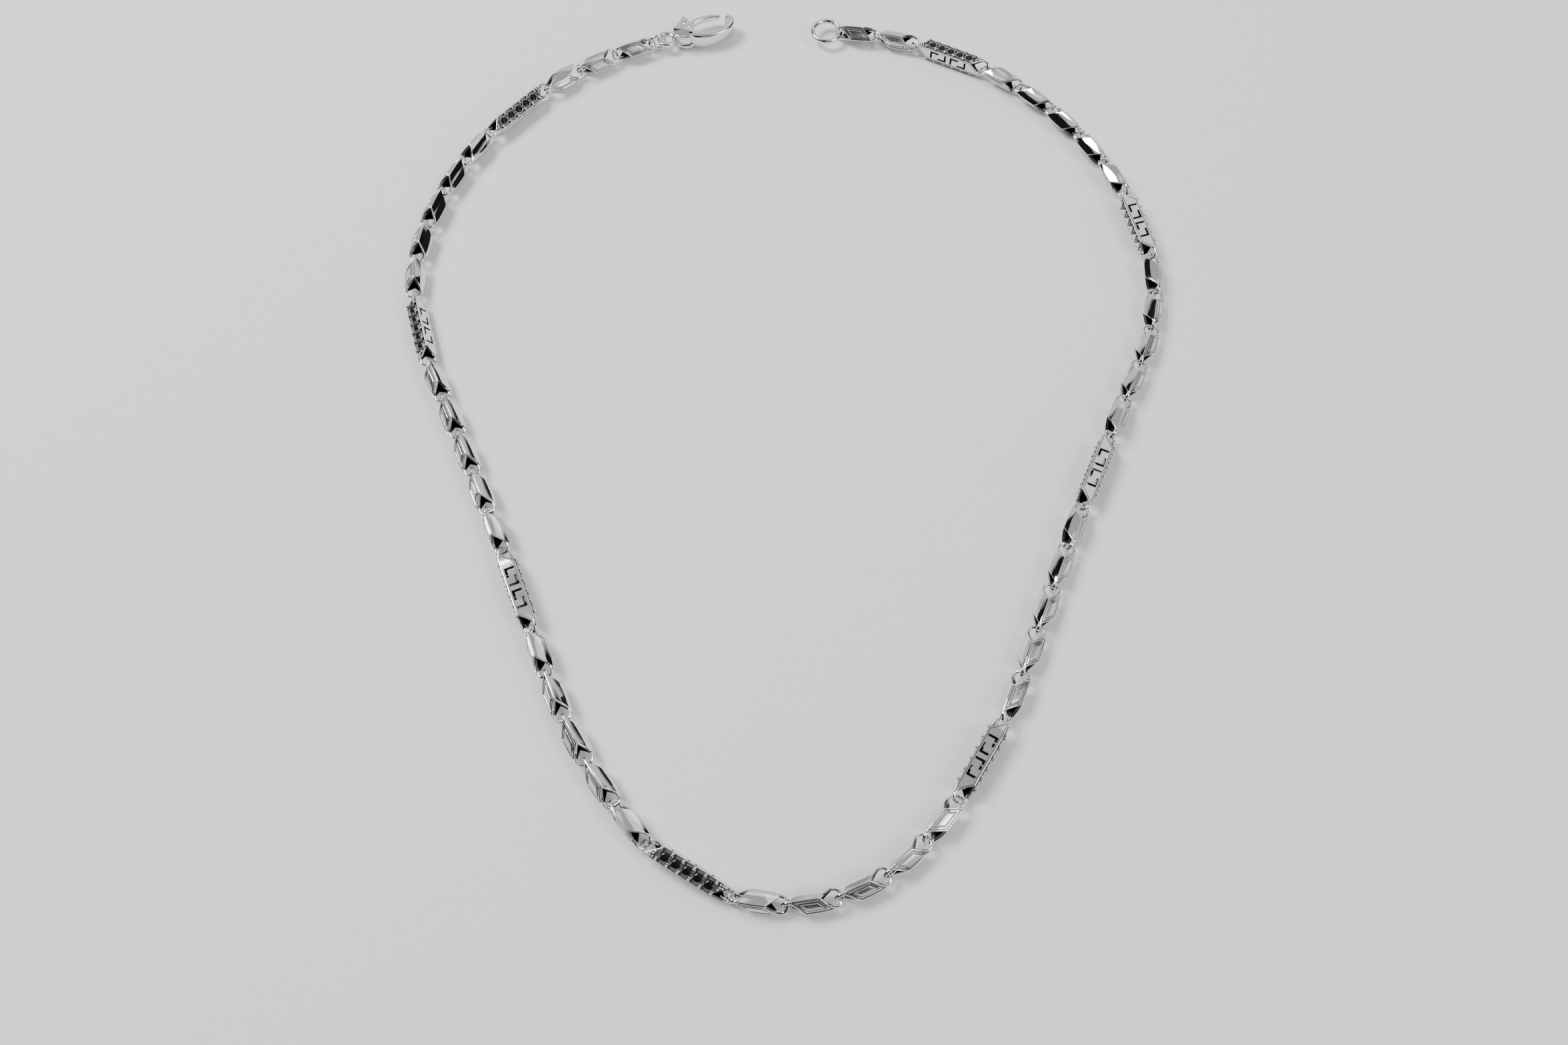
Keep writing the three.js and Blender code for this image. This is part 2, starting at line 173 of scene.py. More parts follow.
# ---------------------------------------------------------------------------------------------
# Small links. Each is a hollow tube of four pressed plates with V-cut ends, soldered along
# its edges; two opposite plates are plain and mirror polished, the other two are pressed
# with nested rhombs over a grained ground. A wire bail closes each end.
small_pitch = 7.8 * mm
tube_side = 2.5 * mm
tube_wall = 0.33 * mm
cut_depth = 2.45 * mm
tip_setback = 0.35 * mm
edge_round = 0.09
bail_thick = 0.45 * mm
bail_wide = 0.58 * mm
bail_corner = 0.2 * mm
bail_gap = 0.3 * mm
bail_bow = 0.8 * mm
bail_inset, bail_root, bail_straight = 0.32 * mm, 1.25 * mm, 0.5 * mm
weld_within = 0.005 * mm
metal_colour = (0.74, 0.735, 0.725, 1)

# How a plate swells in its middle, tapers to its tips and is crowned across.
small_shape = {"gain": 1.04, "taper": 0.17, "power": 2.4, "dome": 0.17 * mm}

# The rounded edge of a plate, then its relief: inset from the rim, height, grain, and painted shade
# that darkens the colour where shadow would fall.
rounded_rim = [(edge_round * (1 - math.cos(math.radians(a))),
                edge_round * (math.sin(math.radians(a)) - 1), 0, 0) for a in (45, 60, 75, 90)]
plain_relief = rounded_rim + [(0.2, 0, 0, 0), (0.45, 0, 0, 0), (0.8, 0, 0, 0)]
# The pressed plates' sunken grooves, and faintly their middle ground, carry painted shade.
pressed_relief = rounded_rim + [
    (0.17, 0, 0, 0), (0.2, -0.02, 0, 0), (0.24, -0.12, 1, 0.7), (0.38, -0.12, 1, 0.7),
    (0.41, -0.03, 0.2, 0), (0.44, 0.0, 0, 0), (0.53, 0.0, 0, 0), (0.56, -0.03, 0.2, 0),
    (0.6, -0.11, 1, 0.7), (0.72, -0.11, 1, 0.7), (0.75, -0.03, 0.2, 0),
    (0.79, -0.005, 0.4, 0), (0.92, 0, 0.9, 0.05)]


def tube_of_plates(pitch, reliefs, shape, along=16, over=8):
    """A V-cut square tube as one closed mesh along X. Plates are given in the order +Z, -Y, -Z,
    +Y. Point attributes: grain marks pressed ground, shade marks painted shade, which darkens
    and dulls the hollow of the tube, its grooves and sunken ground."""
    half = pitch / 2 - tip_setback
    reach = tube_side / 2
    slant = cut_depth / tube_side
    edge_gain = math.sqrt(1 + slant * slant)
    work = bmesh.new()
    grain = work.verts.layers.float.new("grain")
    shade = work.verts.layers.float.new("shade")

    def swell_at(x):
        return shape["gain"] - shape["taper"] * abs(x / half) ** shape["power"]

    def ends_at(across, inset):
        start = -half + slant * (across + reach) + inset * edge_gain
        return start, half - slant * (reach - across) - inset * edge_gain

    def vertex(plate, spot, mark, shade_level=0):
        # Even plates are mirrored across, which puts the start tips on two opposite edges.
        x, side, height = spot
        side = -side if plate % 2 == 0 else side
        turned = Matrix.Rotation(plate * math.pi / 2, 3, "X") @ Vector((x, side, height))
        vert = work.verts.new(turned)
        vert[grain] = mark
        vert[shade] = shade_level
        return vert

    def face_vertex(plate, ring, tie, first):
        inset, lift, mark, dark = ring[0] * mm, ring[1] * mm, ring[2], ring[3]
        edge = reach - inset
        across = edge * (2 * tie[1] / over - 1)
        start, end = ends_at(across, inset)
        x = start + (end - start) * tie[0] / along
        swell = swell_at(x)
        height = swell * reach + lift
        if first:
            # The shared long edges of neighbouring plates meet on the diagonal.
            side = across / edge * height
        else:
            side = across * swell
        height += shape["dome"] * (1 - (across / (reach - rounded_rim[0][0] * mm)) ** 2)
        return vertex(plate, (x, side, height), mark, dark)

    def quad(plate, corners):
        work.faces.new(corners if plate % 2 == 1 else corners[::-1])

    rim = ([(i, 0) for i in range(along)] + [(along, j) for j in range(over)]
           + [(i, over) for i in range(along, 0, -1)] + [(0, j) for j in range(over, 0, -1)])
    for plate, relief in enumerate(reliefs):
        rings = []
        for depth, ring in enumerate(relief):
            rings.append([face_vertex(plate, ring, tie, depth == 0) for tie in rim])
        for outer, inner in zip(rings, rings[1:]):
            for k in range(len(rim)):
                n = (k + 1) % len(rim)
                quad(plate, [outer[k], outer[n], inner[n], inner[k]])
        grid = {tie: rings[-1][k] for k, tie in enumerate(rim)}
        for i in range(1, along):
            for j in range(1, over):
                grid[i, j] = face_vertex(plate, relief[-1], (i, j), False)
        for i in range(along):
            for j in range(over):
                quad(plate, [grid[i, j], grid[i + 1, j], grid[i + 1, j + 1], grid[i, j + 1]])
        # The sheet's own thickness along both slanted ends, and the plate's back, both fully
        # darkened with painted shade.
        inner_lines = []
        for i_end in (0, along):
            outer_line = [rings[0][rim.index((i_end, j))] for j in range(over + 1)]
            inner_line = []
            for j in range(over + 1):
                inward = (reach - tube_wall) * (2 * j / over - 1)
                x = ends_at(inward, 0)[0 if i_end == 0 else 1]
                swell = swell_at(x)
                spot = (x, inward * swell, (reach - tube_wall) * swell)
                inner_line.append(vertex(plate, spot, 0.3, 1))
            inner_lines.append(inner_line)
            for j in range(over):
                corners = [outer_line[j], outer_line[j + 1], inner_line[j + 1], inner_line[j]]
                quad(plate, corners[::-1] if i_end == 0 else corners)
        first_line, last_line = inner_lines
        for j in range(over):
            quad(plate, [first_line[j], first_line[j + 1], last_line[j + 1], last_line[j]])
    bmesh.ops.remove_doubles(work, verts=work.verts, dist=weld_within)
    bmesh.ops.recalc_face_normals(work, faces=work.faces)
    return work


def swept(work, path, section, closed=False, up=Vector((0, 0, 1)), scale=None):
    """A bar along a path that lies in a plane with the normal up. The section is a list of
    (outward, up) points, and scale may give a (outward, up) factor for every path point."""
    rings = []
    count = len(path)
    for k, point in enumerate(path):
        before = path[(k - 1) % count] if closed or k > 0 else point
        after = path[(k + 1) % count] if closed or k < count - 1 else point
        outward = (after - before).normalized().cross(up).normalized()
        stretch = 1.0
        if closed or 0 < k < count - 1:
            bend = (point - before).normalized().dot((after - point).normalized())
            stretch = 1 / max(0.6, math.sqrt((1 + bend) / 2))
        wide, tall = scale[k] if scale else (1, 1)
        rings.append([work.verts.new(point + outward * a * stretch * wide + up * b * tall)
                      for a, b in section])
    size = len(section)
    for k in range(count if closed else count - 1):
        one, two = rings[k], rings[(k + 1) % count]
        for s in range(size):
            t = (s + 1) % size
            work.faces.new([one[s], one[t], two[t], two[s]])
    if not closed:
        work.faces.new(rings[0][::-1])
        work.faces.new(rings[-1])


def rounded_section(wide, tall, corner, steps=3):
    points = []
    for turn, (cx, cy) in enumerate([(1, 1), (-1, 1), (-1, -1), (1, -1)]):
        for k in range(steps + 1):
            angle = math.pi / 2 * (turn + k / steps)
            points.append((cx * (wide / 2 - corner) + corner * math.cos(angle),
                           cy * (tall / 2 - corner) + corner * math.sin(angle)))
    return points


def add_bails(work, pitch):
    """One U of wire at each end, in the plane of that end's two tips."""
    leg = tube_side / math.sqrt(2) - bail_inset - bail_thick / 2
    bar = pitch / 2 + bail_gap / 2 + bail_thick / 2
    root = pitch / 2 - tip_setback - bail_root
    section = rounded_section(bail_thick, bail_wide, bail_corner)
    for end, tilt in ((-1, math.pi / 4), (1, -math.pi / 4)):
        outward = Vector((end, 0, 0))
        sideways = Vector((0, math.cos(tilt), math.sin(tilt)))
        path = [sideways * leg + outward * root,
                sideways * leg + outward * (root + bail_straight)]
        for k in range(9):
            angle = math.pi / 2 * k / 8
            path.append(sideways * (leg - bail_bow + bail_bow * math.cos(angle))
                        + outward * (bar - bail_bow + bail_bow * math.sin(angle)))
        path += [point - 2 * sideways * sideways.dot(point) for point in reversed(path)]
        swept(work, path, section, up=sideways.cross(outward).normalized())


def finished_mesh(work, name, sharp=38):
    bmesh.ops.recalc_face_normals(work, faces=work.faces)
    mesh = bpy.data.meshes.new(name)
    work.to_mesh(mesh)
    work.free()
    mesh.shade_smooth()
    mesh.set_sharp_from_angle(angle=math.radians(sharp))
    return mesh


small_work = tube_of_plates(small_pitch, [pressed_relief, plain_relief] * 2, small_shape)
add_bails(small_work, small_pitch)
small_mesh = finished_mesh(small_work, "small_link")


# The finish shared by every plated piece: a nearly clean polish with faint buffing waves,
# matt speckle on pressed ground, and painted shade that darkens and dulls the tubes' hollows,
# grooves, sunken ground, piercing walls and prong posts.
haze_scale, haze_detail = 430, 3
haze_from, haze_to = 0.35, 0.7
polish_low, polish_high = 0.035, 0.085
ground_matt, shade_matt = 0.16, 0.3
speckle_scale, speckle_detail = 7000, 2
wave_scale, wave_detail, wave_height = 800, 1, 0.25
painted_shade_colour = (0.03, 0.03, 0.032, 1)
relief_strength = 0.6


def plating_finish_and_shade():
    group = bpy.data.node_groups.new("plating_finish_and_shade", "ShaderNodeTree")
    face = group.interface
    face.new_socket("Metal", in_out="INPUT", socket_type="NodeSocketColor")
    face.new_socket("Grain", in_out="INPUT", socket_type="NodeSocketFloat")
    face.new_socket("Inside", in_out="INPUT", socket_type="NodeSocketFloat")
    face.new_socket("Colour", in_out="OUTPUT", socket_type="NodeSocketColor")
    face.new_socket("Roughness", in_out="OUTPUT", socket_type="NodeSocketFloat")
    face.new_socket("Height", in_out="OUTPUT", socket_type="NodeSocketFloat")
    nodes, links = group.nodes, group.links
    start = nodes.new("NodeGroupInput")
    end = nodes.new("NodeGroupOutput")
    place = nodes.new("ShaderNodeTexCoord")

    def noise(scale, detail):
        node = nodes.new("ShaderNodeTexNoise")
        node.inputs["Scale"].default_value = scale
        node.inputs["Detail"].default_value = detail
        links.new(place.outputs["Object"], node.inputs["Vector"])
        return node.outputs["Fac"]

    def math_node(kind, *values):
        node = nodes.new("ShaderNodeMath")
        node.operation = kind
        for socket, value in zip(node.inputs, values):
            if isinstance(value, (int, float)):
                socket.default_value = value
            else:
                links.new(value, socket)
        return node.outputs["Value"]

    haze = nodes.new("ShaderNodeMapRange")
    haze.inputs["From Min"].default_value = haze_from
    haze.inputs["From Max"].default_value = haze_to
    haze.inputs["To Min"].default_value = polish_low
    haze.inputs["To Max"].default_value = polish_high
    links.new(noise(haze_scale, haze_detail), haze.inputs["Value"])
    matt = math_node("MULTIPLY_ADD", start.outputs["Grain"], ground_matt, haze.outputs["Result"])
    dull = math_node("MULTIPLY_ADD", start.outputs["Inside"], shade_matt, matt)
    links.new(dull, end.inputs["Roughness"])
    speckle = math_node("MULTIPLY", noise(speckle_scale, speckle_detail), start.outputs["Grain"])
    relief = math_node("MULTIPLY_ADD", noise(wave_scale, wave_detail), wave_height, speckle)
    links.new(relief, end.inputs["Height"])
    # Painted shade: the colour is mixed toward near black as far as the shade mask goes.
    darken = nodes.new("ShaderNodeMix")
    darken.data_type = "RGBA"
    darken.inputs["B"].default_value = painted_shade_colour
    links.new(start.outputs["Inside"], darken.inputs["Factor"])
    links.new(start.outputs["Metal"], darken.inputs["A"])
    links.new(darken.outputs["Result"], end.inputs["Colour"])
    return group


finish_and_shade = plating_finish_and_shade()


def plated_metal(name, colour, relief):
    paint = bpy.data.materials.new(name)
    paint.use_nodes = True
    nodes, links = paint.node_tree.nodes, paint.node_tree.links
    shader = nodes["Principled BSDF"]
    shader.inputs["Metallic"].default_value = 1.0
    coat = nodes.new("ShaderNodeGroup")
    coat.node_tree = finish_and_shade
    coat.inputs["Metal"].default_value = colour
    # The second attribute is the painted shade mask.
    for socket, name_on_mesh in (("Grain", "grain"), ("Inside", "shade")):
        mark = nodes.new("ShaderNodeAttribute")
        mark.attribute_name = name_on_mesh
        links.new(mark.outputs["Fac"], coat.inputs[socket])
    links.new(coat.outputs["Colour"], shader.inputs["Base Color"])
    links.new(coat.outputs["Roughness"], shader.inputs["Roughness"])
    bump = nodes.new("ShaderNodeBump")
    bump.inputs["Strength"].default_value = relief_strength
    bump.inputs["Distance"].default_value = relief
    links.new(coat.outputs["Height"], bump.inputs["Height"])
    links.new(bump.outputs["Normal"], shader.inputs["Normal"])
    return paint


link_plating = plated_metal("polished_link_plating", metal_colour, 0.03 * mm)


# A geometry tree lays a finished mesh once at a link's seat, or in a row along a plate.
def laying_tree():
    tree = bpy.data.node_groups.new("lay_link", "GeometryNodeTree")
    face = tree.interface
    face.new_socket("Geometry", in_out="INPUT", socket_type="NodeSocketGeometry")
    face.new_socket("Link", in_out="INPUT", socket_type="NodeSocketObject")
    face.new_socket("Count", in_out="INPUT", socket_type="NodeSocketInt")
    face.new_socket("Start", in_out="INPUT", socket_type="NodeSocketVector")
    face.new_socket("Step", in_out="INPUT", socket_type="NodeSocketVector")
    face.new_socket("Turn", in_out="INPUT", socket_type="NodeSocketVector")
    face.new_socket("Coat", in_out="INPUT", socket_type="NodeSocketMaterial")
    face.new_socket("Geometry", in_out="OUTPUT", socket_type="NodeSocketGeometry")
    nodes, links = tree.nodes, tree.links
    start = nodes.new("NodeGroupInput")
    end = nodes.new("NodeGroupOutput")
    line = nodes.new("GeometryNodeMeshLine")
    line.mode = "OFFSET"
    links.new(start.outputs["Count"], line.inputs["Count"])
    links.new(start.outputs["Start"], line.inputs["Start Location"])
    links.new(start.outputs["Step"], line.inputs["Offset"])
    link = nodes.new("GeometryNodeObjectInfo")
    links.new(start.outputs["Link"], link.inputs["Object"])
    lay = nodes.new("GeometryNodeInstanceOnPoints")
    links.new(line.outputs["Mesh"], lay.inputs["Points"])
    links.new(link.outputs["Geometry"], lay.inputs["Instance"])
    links.new(start.outputs["Turn"], lay.inputs["Rotation"])
    real = nodes.new("GeometryNodeRealizeInstances")
    links.new(lay.outputs["Instances"], real.inputs["Geometry"])
    coat = nodes.new("GeometryNodeSetMaterial")
    links.new(real.outputs["Geometry"], coat.inputs["Geometry"])
    links.new(start.outputs["Coat"], coat.inputs["Material"])
    links.new(coat.outputs["Geometry"], end.inputs["Geometry"])
    return tree


laid_row = laying_tree()


def made_by(tree, name, **values):
    """Runs a geometry tree and keeps its result as a plain mesh object."""
    carrier = bpy.data.objects.new(name, bpy.data.meshes.new(name + "_seed"))
    bpy.context.collection.objects.link(carrier)
    modifier = carrier.modifiers.new("make", "NODES")
    modifier.node_group = tree
    for item in tree.interface.items_tree:
        if item.item_type == "SOCKET" and item.in_out == "INPUT" and item.name in values:
            modifier[item.identifier] = values[item.name]
    graph = bpy.context.evaluated_depsgraph_get()
    mesh = bpy.data.meshes.new_from_object(carrier.evaluated_get(graph))
    mesh.name = name
    carrier.modifiers.clear()
    carrier.data = mesh
    return carrier


hinge_at = {joint["name"]: Vector(joint["pos_m"]) for joint in frame["joints"]}
station_pitch = 14.8 * mm

# The links of one side from the middle outward, and how far each is rolled about the chain.
left_run, right_run = [1, 5, 5, 5, 3], [4, 5, 5, 5, 2]
left_station_rolls, right_station_rolls = [104, 92, 30, 60], [-4, 92, 84, 90]
small_roll, end_roll = 45, 135
roll_blend = [0.55, 0.15, 0, 0, 0]


def side_links(side, run, station_rolls):
    """Names and rolls of one side's links, from the middle joint outward."""
    names, small = [], 0
    for group, count in enumerate(run):
        before = station_rolls[group - 1] if group else small_roll
        last = group == len(station_rolls)
        for i in range(count):
            if last:
                roll = before + (end_roll - before) * (i + 1) / count
            else:
                after = station_rolls[group]
                roll = (small_roll + (after - small_roll) * roll_blend[count - 1 - i]
                        + (before - small_roll) * roll_blend[i])
            small += 1
            names.append((f"small_link_{side}{small:02d}", roll))
        if not last:
            names.append((f"station_link_{side}{group + 1}", station_rolls[group]))
    return names


def seats_of(side, run, station_rolls, last_hinge):
    """Middle and turn of every link of one side."""
    chain = side_links(side, run, station_rolls)
    near = hinge_at["small_link_L01_hinge"]
    seats = {}
    for place, (name, roll) in enumerate(chain):
        pitch = small_pitch if name.startswith("small") else station_pitch
        beyond = chain[place + 1][0] + "_hinge" if place + 1 < len(chain) else last_hinge
        outward = (hinge_at[beyond] - near).normalized()
        far = near + outward * pitch
        along = -outward if side == "L" else outward
        across = Vector((0, 0, 1)).cross(along).normalized()
        turn = Matrix((along, across, Vector((0, 0, 1)))).transposed()
        turn = turn @ Matrix.Rotation(math.radians(roll), 3, "X")
        seats[name] = ((near + far) / 2, turn)
        near = far
    return seats


link_seats = seats_of("L", left_run, left_station_rolls, "jump_ring_hinge")
link_seats |= seats_of("R", right_run, right_station_rolls, "catch_ring_hinge")


def lay_at_seat(name, pattern, coat, seat):
    middle, turn = link_seats[seat]
    piece = made_by(laid_row, name, Link=pattern, Count=1, Start=tuple(middle),
                    Turn=tuple(turn.to_euler()), Coat=coat)
    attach(piece, seat + "_body")
    return piece


small_pattern = bpy.data.objects.new("small_pattern", small_mesh)
for name in link_seats:
    if name.startswith("small"):
        link = lay_at_seat(name.replace("small", "plated"), small_pattern, link_plating, name)
        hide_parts(name)

# ---------------------------------------------------------------------------------------------
# Station links. Longer tubes of the same make: two opposite plates are pierced with an
# angular key line inside a scored border, and the other two carry a row of five stones
# held by bead prongs, with a cluster of beads at each pointed end.
station_shape = {"gain": 1.0, "taper": 0.13, "power": 7, "dome": 0.0}
key_middles = (-2.05 * mm, 2.05 * mm)
key_bar_out = 1.45 * mm
key_arm = 1.5 * mm
key_reach = 0.62 * mm
key_slot = 0.36 * mm
key_chamfer = 0.05 * mm
key_above, key_below = 0.3 * mm, 0.62 * mm
pierced_dark_from = key_chamfer * 0.8
seat_count = 5
seat_spacing = 1.9 * mm
seat_radius = 0.75 * mm
prong_offset = 0.88 * mm
ground_drop = 0.14
bead_radius = 0.24 * mm
prong_bright_from = 0.16 * mm
prong_painted_shade = 0.85
prong_wide, prong_deep, prong_corner = 0.36 * mm, 0.34 * mm, 0.15 * mm
bezel_wide, bezel_tall, bezel_corner = 0.09 * mm, 0.16 * mm, 0.03 * mm
bezel_drop = 0.08 * mm
# A stone's rings from the table down: radius and height in mm, and turn in sides.
stone_rings = [(0.36, 0.08, 0.5), (0.6, 0.0, 0), (0.71, -0.09, 0.5), (0.66, -0.2, 0.5)]
stone_colours = (0.002, 0.002, 0.002, 1), (0.006, 0.006, 0.007, 1)
stone_shine, stone_roughness, stone_cloud = 0.25, 0.22, 900
end_beads = [(5.42, 0.83), (5.85, 0.87), (6.24, 0.9), (5.5, 0.4), (5.9, 0.48), (5.32, 0.0)]

# The key face's scored groove and the seat plates' sunken ground carry painted shade.
key_relief = rounded_rim + [(0.17, 0, 0, 0), (0.19, -0.09, 0.6, 0.9), (0.28, -0.09, 0.6, 0.9),
                            (0.3, -0.02, 0, 0), (0.33, -0.02, 0, 0), (0.37, -0.02, 0, 0)]
seat_relief = rounded_rim + [(0.13, 0, 0, 0), (0.15, -0.02, 0, 0),
                             (0.19, -ground_drop, 0.8, 0.8), (0.4, -ground_drop, 1, 0.9)]


def key_cutter(work, plate, middle, turn, hand):
    """One L shaped prism with a flared mouth, for piercing a plate."""
    out, low, high = key_slot / 2, key_reach - key_slot / 2, key_reach + key_slot / 2
    level = tube_side / 2
    rings = []
    for depth, flare in ((key_above, key_chamfer), (0, key_chamfer), (-key_chamfer, 0),
                         (-key_below, 0)):
        outline = [(-out - flare, -high - flare), (out + flare, -high - flare),
                   (out + flare, low - flare), (key_arm + flare, low - flare),
                   (key_arm + flare, high + flare), (-out - flare, high + flare)]
        ring = []
        for x, y in outline:
            spot = Vector((middle + turn * (x - key_bar_out), hand * turn * y, level + depth))
            ring.append(work.verts.new(Matrix.Rotation(plate * math.pi / 2, 3, "X") @ spot))
        rings.append(ring)
    for upper, lower in zip(rings, rings[1:]):
        for k in range(6):
            n = (k + 1) % 6
            work.faces.new([upper[k], upper[n], lower[n], lower[k]])
    work.faces.new(rings[0])
    work.faces.new(rings[-1][::-1])


def pierced(work, plates, hand, name):
    """Cuts the key line through two plates of a tube."""
    body = bpy.data.objects.new(name, finished_mesh(work, name))
    cutter_work = bmesh.new()
    for plate in plates:
        for middle in key_middles:
            for turn in (1, -1):
                key_cutter(cutter_work, plate, middle, turn, hand)
    cutter = bpy.data.objects.new(name + "_cutter", finished_mesh(cutter_work, name + "_cutter"))
    for obj in (body, cutter):
        bpy.context.collection.objects.link(obj)
    cut = body.modifiers.new("pierce", "BOOLEAN")
    cut.object = cutter
    cut.solver = "EXACT"
    graph = bpy.context.evaluated_depsgraph_get()
    mesh = bpy.data.meshes.new_from_object(body.evaluated_get(graph))
    for obj in (body, cutter):
        bpy.data.objects.remove(obj)
    result = bmesh.new()
    result.from_mesh(mesh)
    # Painted shade: the walls of the piercing are left dull and darkened, like the inside of the
    # tube.
    shade = result.verts.layers.float["shade"]
    cut_length = key_middles[1] + key_bar_out + key_slot
    for vert in result.verts:
        deep = tube_side / 2 - max(abs(vert.co.y), abs(vert.co.z))
        if abs(vert.co.x) < cut_length and deep > pierced_dark_from and vert[shade] == 0:
            vert[shade] = 1
    return result


def bead(work, spot, radius, rings=6, sides=10):
    made = bmesh.ops.create_uvsphere(work, u_segments=sides, v_segments=rings, radius=radius)
    bmesh.ops.translate(work, verts=made["verts"], vec=spot)


def prong_mesh():
    """A prong: a post with a waist, a bead on top and a fishtail of two beads inward."""
    work = bmesh.new()
    post = rounded_section(prong_wide, prong_deep, prong_corner, 2)
    path = [Vector((0, 0.04 * mm, height * mm)) for height in (-0.2, 0, 0.12, 0.26)]
    swept(work, path, post, up=Vector((0, 1, 0)), scale=[(1.2, 1.2), (1, 1), (0.8, 0.8), (1, 1)])
    bead(work, Vector((0, 0.04 * mm, 0.29 * mm)), bead_radius)
    for x in (-0.14, 0.14):
        bead(work, Vector((x * mm, -0.26 * mm, 0.03 * mm)), bead_radius * 0.66)
    # Painted shade: the prong is dulled and darkened up to the stated height, standing for the dark
    # between the beads, and polished above it.
    shade = work.verts.layers.float.new("shade")
    for vert in work.verts:
        vert[shade] = prong_painted_shade if vert.co.z < prong_bright_from else 0
    return finished_mesh(work, "prong", 60)


def stone_mesh():
    """A small dark faceted stone, table up."""
    work = bmesh.new()
    sides = 12
    rings = []
    for radius, height, turn in stone_rings:
        rings.append([work.verts.new((radius * mm * math.cos((k + turn) * math.tau / sides),
                                      radius * mm * math.sin((k + turn) * math.tau / sides),
                                      height * mm)) for k in range(sides)])
    work.faces.new(rings[0])
    for k in range(sides):
        n = (k + 1) % sides
        work.faces.new([rings[0][k], rings[1][n], rings[0][n]])
        work.faces.new([rings[0][k], rings[1][k], rings[1][n]])
        work.faces.new([rings[1][k], rings[2][k], rings[1][n]])
        work.faces.new([rings[1][n], rings[2][k], rings[2][n]])
        work.faces.new([rings[2][k], rings[3][k], rings[3][n], rings[2][n]])
    work.faces.new(rings[3][::-1])
    bmesh.ops.recalc_face_normals(work, faces=work.faces)
    mesh = bpy.data.meshes.new("dark_stone")
    work.to_mesh(mesh)
    work.free()
    return mesh


def bezel_mesh():
    """The thin raised ring a stone sits in."""
    work = bmesh.new()
    path = [Vector((seat_radius * math.cos(a * math.tau / 20), seat_radius
                    * math.sin(a * math.tau / 20), -bezel_drop)) for a in range(20)]
    section = rounded_section(bezel_wide, bezel_tall, bezel_corner, 1)
    swept(work, path, section, closed=True)
    return finished_mesh(work, "bezel", 50)


prong_pattern = bpy.data.objects.new("prong_pattern", prong_mesh())
stone_pattern = bpy.data.objects.new("stone_pattern", stone_mesh())
bezel_pattern = bpy.data.objects.new("bezel_pattern", bezel_mesh())


def add_row(work, plate, pattern, count, side, turned):
    """Adds a row of one pattern along a plate, on the stated side of its middle line."""
    start = Vector((-(count - 1) / 2 * seat_spacing, side, tube_side / 2))
    row = made_by(laid_row, "row", Link=pattern, Count=count, Start=tuple(start),
                  Step=(seat_spacing, 0, 0), Turn=(0, 0, math.pi if turned else 0),
                  Coat=link_plating)
    row.data.transform(Matrix.Rotation(plate * math.pi / 2, 4, "X"))
    work.from_mesh(row.data)
    bpy.data.objects.remove(row)


def station_meshes(key_on):
    key_plates, seat_plates = ((0, 2), (1, 3)) if key_on == "v" else ((1, 3), (0, 2))
    reliefs = [key_relief if plate in key_plates else seat_relief for plate in range(4)]
    tube = tube_of_plates(station_pitch, reliefs, station_shape, along=30)
    work = pierced(tube, key_plates, 1 if key_on == "v" else -1, "station_tube_" + key_on)
    stones = bmesh.new()
    for plate in seat_plates:
        add_row(work, plate, bezel_pattern, seat_count, 0, False)
        add_row(work, plate, prong_pattern, seat_count + 1, prong_offset, False)
        add_row(work, plate, prong_pattern, seat_count + 1, -prong_offset, True)
        add_row(stones, plate, stone_pattern, seat_count, 0, False)
        for end in (-1, 1):
            tip_side = end if plate % 2 else -end
            for x, y in end_beads:
                spot = Vector((end * x * mm, tip_side * y * mm, tube_side / 2 + 0.02 * mm))
                spot = Matrix.Rotation(plate * math.pi / 2, 3, "X") @ spot
                bead(work, spot, bead_radius * 0.85)
    add_bails(work, station_pitch)
    stone_set = bpy.data.meshes.new("stones_" + key_on)
    stones.to_mesh(stone_set)
    stones.free()
    return finished_mesh(work, "station_" + key_on), stone_set


def dark_stone_paint():
    paint = bpy.data.materials.new("dark_stone")
    paint.use_nodes = True
    nodes, links = paint.node_tree.nodes, paint.node_tree.links
    shader = nodes["Principled BSDF"]
    shader.inputs["Specular IOR Level"].default_value = stone_shine
    shader.inputs["Roughness"].default_value = stone_roughness
    place = nodes.new("ShaderNodeTexCoord")
    cloud = nodes.new("ShaderNodeTexNoise")
    cloud.inputs["Scale"].default_value = stone_cloud
    links.new(place.outputs["Object"], cloud.inputs["Vector"])
    tint = nodes.new("ShaderNodeValToRGB")
    for element, colour in zip(tint.color_ramp.elements, stone_colours):
        element.color = colour
    links.new(cloud.outputs["Fac"], tint.inputs["Fac"])
    links.new(tint.outputs["Color"], shader.inputs["Base Color"])
    return paint


stone_paint = dark_stone_paint()
station_plating = plated_metal("polished_station_plating", metal_colour, 0.02 * mm)
station_keys = {"L": ["v", "u", "u", "v"], "R": ["v", "u", "u", "v"]}
patterns = {}
for key_on in ("u", "v"):
    metal_mesh, stones_mesh = station_meshes(key_on)
    patterns[key_on] = (bpy.data.objects.new("station_" + key_on, metal_mesh),
                        bpy.data.objects.new("stones_" + key_on, stones_mesh))
for side, keys in station_keys.items():
    for place, key_on in enumerate(keys):
        seat = f"station_link_{side}{place + 1}"
        metal_pattern, stones_pattern = patterns[key_on]
        link = lay_at_seat(f"pierced_link_{side}{place + 1}", metal_pattern, station_plating, seat)
        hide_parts(seat)
        stones = lay_at_seat(f"dark_stones_{side}{place + 1}", stones_pattern, stone_paint, seat)

